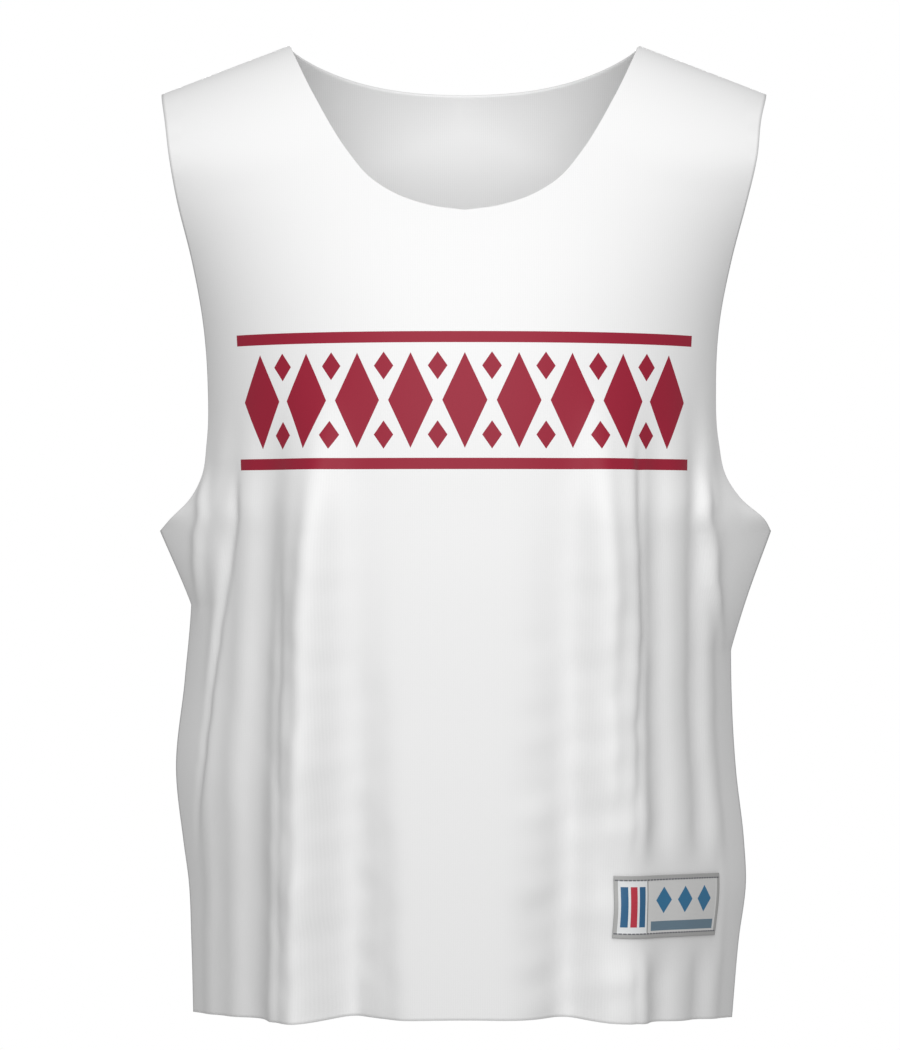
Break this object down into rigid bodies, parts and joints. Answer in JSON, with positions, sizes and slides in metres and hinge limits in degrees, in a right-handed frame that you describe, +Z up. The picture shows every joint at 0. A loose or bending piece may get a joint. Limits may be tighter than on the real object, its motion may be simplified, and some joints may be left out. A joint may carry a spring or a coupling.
{
  "type": "reversible sleeveless sports pinnie",
  "caption": "Hollow sleeveless reversible practice shirt with a low round neck, deep armholes, hanging folds and a woven hem label, filled out as worn.",
  "frame": {"origin": "midway between the two shoulder points at the neck, where the wearer's shoulders hold the shirt up", "axes": "+Z up, -Y the way the front faces, +X the wearer's left"},
  "size_m": [0.4583, 0.255, 0.7275],
  "materials": {
    "face_knit": "smooth white polyester knit with a soft satin sheen and a crimson printed chest band",
    "reverse_knit": "matt cool white polyester knit, the inner side of the shirt",
    "woven_label": "woven polyester satin label with a grey border and plain blue, red and teal blocks"
  },
  "bodies": {
    "root": {"front": "face_knit", "back": "face_knit", "front_reverse": "reverse_knit", "back_reverse": "reverse_knit", "hem_label": "woven_label"}
  },
  "joints": []
}
